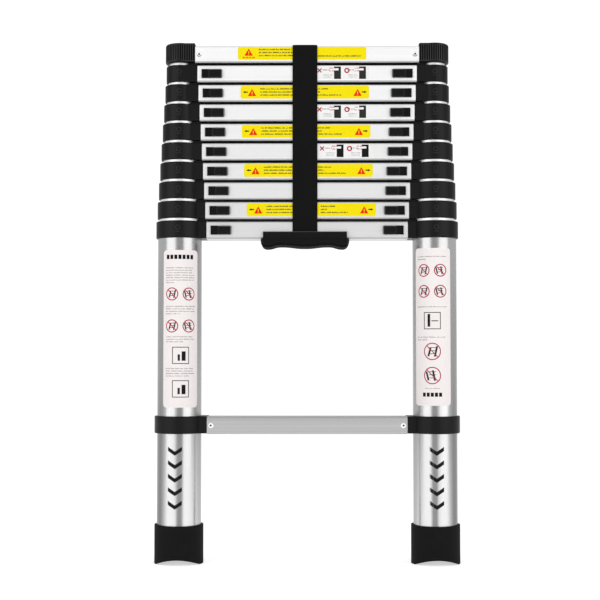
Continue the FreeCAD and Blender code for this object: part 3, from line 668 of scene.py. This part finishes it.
def left_tube_label():
    """Print, two pairs of banned uses and two framed pictures of plain blocks."""
    sheet, top, left = blank_tube_label("tube_label_left", 57.0)
    for n in range(7):
        sheet.bar(left + 1 + 6.2 * n, top - 13.5, left + 5.6 + 6.2 * n, top - 7.0, black_ink_and_painted_shade)
    sheet.lines(left, -left, [top - 26 - 3.7 * n for n in range(7)], 1.3, pale_ink, 1, 0.3)
    ban_signs(sheet, [(-13.6, top - 66), (12.4, top - 66)], 9.8)
    sheet.lines(left, -left, [top - 84 - 3.7 * n for n in range(4)], 1.3, pale_ink, 2, 0.5)
    ban_signs(sheet, [(-13.6, top - 114), (12.4, top - 114)], 9.8)
    sheet.lines(left, -left, [top - 129.5 - 3.7 * n for n in range(3)], 1.3, pale_ink, 3, 0.6)
    for v in (top - 158, top - 208):
        sheet.frame(0, v, 12.8, 1.1, grey_ink)
        sheet.bar(-4.5, v - 8.0, -1.0, v + 1.5, grey_ink)
        sheet.bar(1.5, v - 8.0, 7.5, v + 6.0, black_ink_and_painted_shade)
    sheet.lines(left, -left, [top - 177 - 3.7 * n for n in range(4)], 1.3, pale_ink, 4, 0.8)
    sheet.lay(on_tube(-1, 8.4, 352.4), "base_section", TUBE_SLOT, cut_every=1.6)


def right_tube_label():
    """Four small banned uses, one framed picture and two large banned uses."""
    sheet, top, left = blank_tube_label("tube_label_right", 59.0)
    sheet.lines(left, -left, (top - 12, top - 16), 1.3, pale_ink, 5, 0.3)
    ban_signs(sheet, [(-13.2, top - 33.5), (12.6, top - 33.5), (-13.2, top - 65), (12.6, top - 65)], 9.6)
    sheet.lines(left, -left, (top - 87.5,), 1.3, pale_ink, 6)
    sheet.frame(0, top - 109, 12.8, 1.1, grey_ink)
    sheet.bar(-7.0, top - 118, -3.0, top - 99, black_ink_and_painted_shade)
    sheet.bar(-1.0, top - 110, 9.0, top - 108.6, grey_ink)
    sheet.lines(left, -left, (top - 133, top - 137), 1.3, pale_ink, 7, 0.35)
    ban_signs(sheet, [(0, top - 155), (0, top - 191)], 13.0)
    sheet.lines(-11, 12, (top - 209.5,), 1.3, pale_ink, 8)
    for n in range(5):
        sheet.bar(-15 + 6.2 * n, top - 222.5, -10.4 + 6.2 * n, top - 216.5, black_ink_and_painted_shade)
    sheet.lay(on_tube(1, -12.0, 355.3), "base_section", TUBE_SLOT, cut_every=1.6)


def tube_mark(side, turn):
    """A plain mark of five chevrons down the lower part of an outer tube."""
    sheet = Print("chevrons_right" if side > 0 else "chevrons_left", [black_ink_and_painted_shade])
    half, drop, stroke, pitch = 10.8, 7.0, 6.2, 20.0
    for n in range(-2, 3):
        v = n * pitch
        sheet.shape([(-half, v + drop), (0, v), (half, v + drop), (half, v + drop + stroke),
                     (0, v + stroke), (-half, v + drop + stroke)], 0.0, 0.06, black_ink_and_painted_shade)
    sheet.lay(on_tube(side, turn, 123.0), "base_section", TUBE_SLOT, cut_every=1.6)


def collar_mark(level, side):
    """A small plain ring and bar moulded on the front of a collar."""
    tube_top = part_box(f"stile_tubes_{level - 1}")[1].z
    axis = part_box("stile_tubes_1")[1].x - TUBE_RADIUS * MM
    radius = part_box(f"collars_{level}")[1].x - axis
    height = tube_top - 9.5 * MM

    def place(u, v, rise):
        angle = u * MM / radius
        reach = radius + (0.01 + rise) * MM
        return Vector((side * axis + reach * math.sin(angle), -reach * math.cos(angle), height + v * MM))

    sheet = Print(f"collar_mark_{level}_{'right' if side > 0 else 'left'}", [mark_plastic])
    sheet.ring(0, 1.6, 3.6, 2.8, mark_plastic, 0.0, 0.15)
    sheet.bar(-3.2, -5.2, 3.2, -4.2, mark_plastic, 0.0, 0.15)
    sheet.lay(place, body_of_level(level), "collar_plastic")


left_tube_label()
right_tube_label()
for marked_level in STACK_LEVELS:
    for marked_side in (-1, 1):
        collar_mark(marked_level, marked_side)
tube_mark(-1, -5.6)
tube_mark(1, -1.4)


# ---------------------------------------------------------------- strap
def band_section(width, thickness):
    """The outline of a flat band's cross-section, thinner at its two edges."""
    columns, thinned = 8, 0.3 * MM
    upper, lower = [], []
    for n in range(columns + 1):
        u = -width / 2 + width * n / columns
        inset = thinned if n in (0, columns) else 0.0
        upper.append((u, thickness - inset))
        lower.append((u, inset))
    return upper + lower[::-1]


def swept_band(name, path, width, thickness, material):
    """A flat band along a path of (y, z) points in metres, with softened edges and u, v in millimetres.
    Returns it with its length."""
    mesh = bmesh.new()
    layer = mesh.loops.layers.uv.new("UVMap")
    section = band_section(width, thickness)
    rows, travelled, distance = [], [], 0.0
    for n, (y, z) in enumerate(path):
        before, after = path[max(n - 1, 0)], path[min(n + 1, len(path) - 1)]
        along = Vector((0, after[0] - before[0], after[1] - before[1])).normalized()
        outward = Vector((0, -along.z, along.y))
        if n:
            distance += math.dist(path[n - 1], path[n])
        travelled.append(distance)
        rows.append([mesh.verts.new(Vector((u, y, z)) + outward * up) for u, up in section])
    count = len(section)
    for n in range(len(rows) - 1):
        for m in range(count):
            k = (m + 1) % count
            face = mesh.faces.new((rows[n][m], rows[n][k], rows[n + 1][k], rows[n + 1][m]))
            for loop, (row, column) in zip(face.loops, ((n, m), (n, k), (n + 1, k), (n + 1, m))):
                loop[layer].uv = (section[column][0] / MM, travelled[row] / MM)
    for row in (rows[0], rows[-1]):
        mesh.faces.new(row)
    bmesh.ops.recalc_face_normals(mesh, faces=mesh.faces[:])
    data = bpy.data.meshes.new(name)
    mesh.to_mesh(data)
    mesh.free()
    data.materials.append(material)
    data.shade_smooth()
    data.set_sharp_from_angle(angle=SHARP_STRAP_ANGLE)
    made = bpy.data.objects.new(name, data)
    bpy.context.scene.collection.objects.link(made)
    return made, distance


def strap():
    """Webbing up the front of the stack, over the top rung and down the back, where the CAD's strap lies."""
    low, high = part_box("carry_strap")
    thickness, bend, step = 1.55 * MM, 3.2 * MM, 4 * MM
    width = high.x - low.x
    front, back = low.y + thickness, high.y - thickness
    roof = high.z - thickness
    rise = roof - bend - low.z
    path = [(front, low.z + n * step) for n in range(int(rise / step) + 1)]
    for n in range(7):
        angle = math.radians(15 * n)
        path.append((front + bend - bend * math.cos(angle), roof - bend + bend * math.sin(angle)))
    path += [(front + back - y, z) for y, z in reversed(path)]
    band, length = swept_band("strap_band", path, width, thickness, strap_webbing)
    band.location.x = (low.x + high.x) / 2
    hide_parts("carry_strap")
    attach(band, "strap")


strap()


# ---------------------------------------------------------------- stage, light and camera
FRONT_LIGHT, ROOM_LIGHT, BACKDROP_LIGHT = 0.5, 0.58, 1.06


def stage():
    floor_mesh = bpy.data.meshes.new("floor")
    size = 60.0
    floor_mesh.from_pydata(
        [(-size, -size, 0), (size, -size, 0), (size, size, 0), (-size, size, 0)], [], [(0, 1, 2, 3)]
    )
    floor = bpy.data.objects.new("floor", floor_mesh)
    look = Shader("floor_paint")
    look.set(Base_Color=(0.8, 0.8, 0.8, 1), Roughness=0.9, Specular_IOR_Level=0.1,
             Emission_Color=(1, 1, 1, 1), Emission_Strength=0.56)
    floor_mesh.materials.append(look.material)
    bpy.context.scene.collection.objects.link(floor)

    bpy.context.scene.world = studio_world()
    for name, azimuth in (("softbox_left", -45), ("softbox_right", 45)):
        softbox(name, azimuth, distance=2.8, height=1.0, width=2.5, tall=2.4, power=33)


def studio_world():
    """A white backdrop straight behind the ladder, in a softer room that is dimmest in front of it."""
    world = bpy.data.worlds.new("studio")
    world.use_nodes = True
    room = NodeTree(world.node_tree)
    towards_back = room.axis("Y", "Generated")
    level = FRONT_LIGHT
    for start, end, reached in ((-1.0, -0.4, ROOM_LIGHT), (0.84, 0.94, BACKDROP_LIGHT)):
        level = room.fade(towards_back, start, end, To_Min=level, To_Max=reached)
    background = room.tree.nodes["Background"]
    room.feed(background.inputs["Strength"], level)
    room.feed(background.inputs["Color"], grey(1.0))
    return world


def softbox(name, azimuth, distance, height, width, tall, power):
    light = bpy.data.lights.new(name, "AREA")
    light.shape, light.size, light.size_y, light.energy = "RECTANGLE", width, tall, power
    made = bpy.data.objects.new(name, light)
    turn = math.radians(azimuth)
    made.location = (distance * math.sin(turn), -distance * math.cos(turn), height)
    aim = Vector((0, 0, 0.35)) - made.location
    made.rotation_euler = aim.to_track_quat("-Z", "Y").to_euler()
    bpy.context.scene.collection.objects.link(made)


CAMERA_DISTANCE = 1.950
CAMERA_HEIGHT = 0.3132
CAMERA_SIDE = 0.0021
CAMERA_TILT = 2.45
CAMERA_TURN = 0.38
CAMERA_LENS = 76.9


def camera():
    data = bpy.data.cameras.new("camera")
    data.lens = CAMERA_LENS
    data.sensor_width = 36
    made = bpy.data.objects.new("camera", data)
    made.location = (CAMERA_SIDE, -CAMERA_DISTANCE, CAMERA_HEIGHT)
    made.rotation_euler = (math.radians(90 + CAMERA_TILT), 0, math.radians(CAMERA_TURN))
    bpy.context.scene.collection.objects.link(made)
    bpy.context.scene.camera = made


stage()
camera()
bpy.context.scene.view_settings.view_transform = "Standard"
